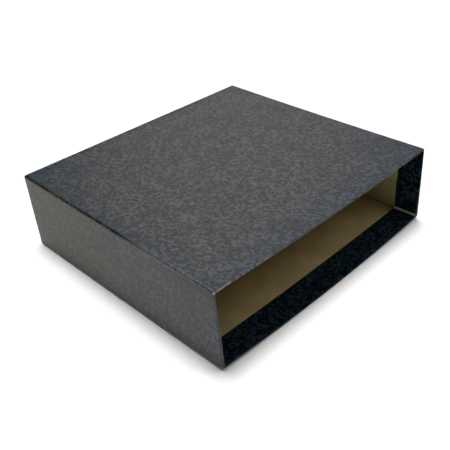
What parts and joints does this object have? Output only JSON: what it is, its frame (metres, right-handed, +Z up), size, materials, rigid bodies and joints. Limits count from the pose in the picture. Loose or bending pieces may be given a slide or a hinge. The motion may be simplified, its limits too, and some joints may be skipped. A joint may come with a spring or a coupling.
{
  "type": "lever arch file slipcase",
  "caption": "Open-mouthed board slipcase for an A4 lever arch file, covered in marbled paper turned in at the mouth, lying on a large panel.",
  "frame": {"origin": "middle of the case in plan, on the surface that it lies on", "axes": "+X along the mouth, +Y from the mouth to the back wall, +Z up through the two large panels"},
  "size_m": [0.322, 0.3, 0.0944],
  "materials": {
    "kraft_board": "matte",
    "marbled_paper": "satin"
  },
  "bodies": {
    "root": {"case_board": "kraft_board", "cover_paper": "marbled_paper"}
  },
  "joints": []
}
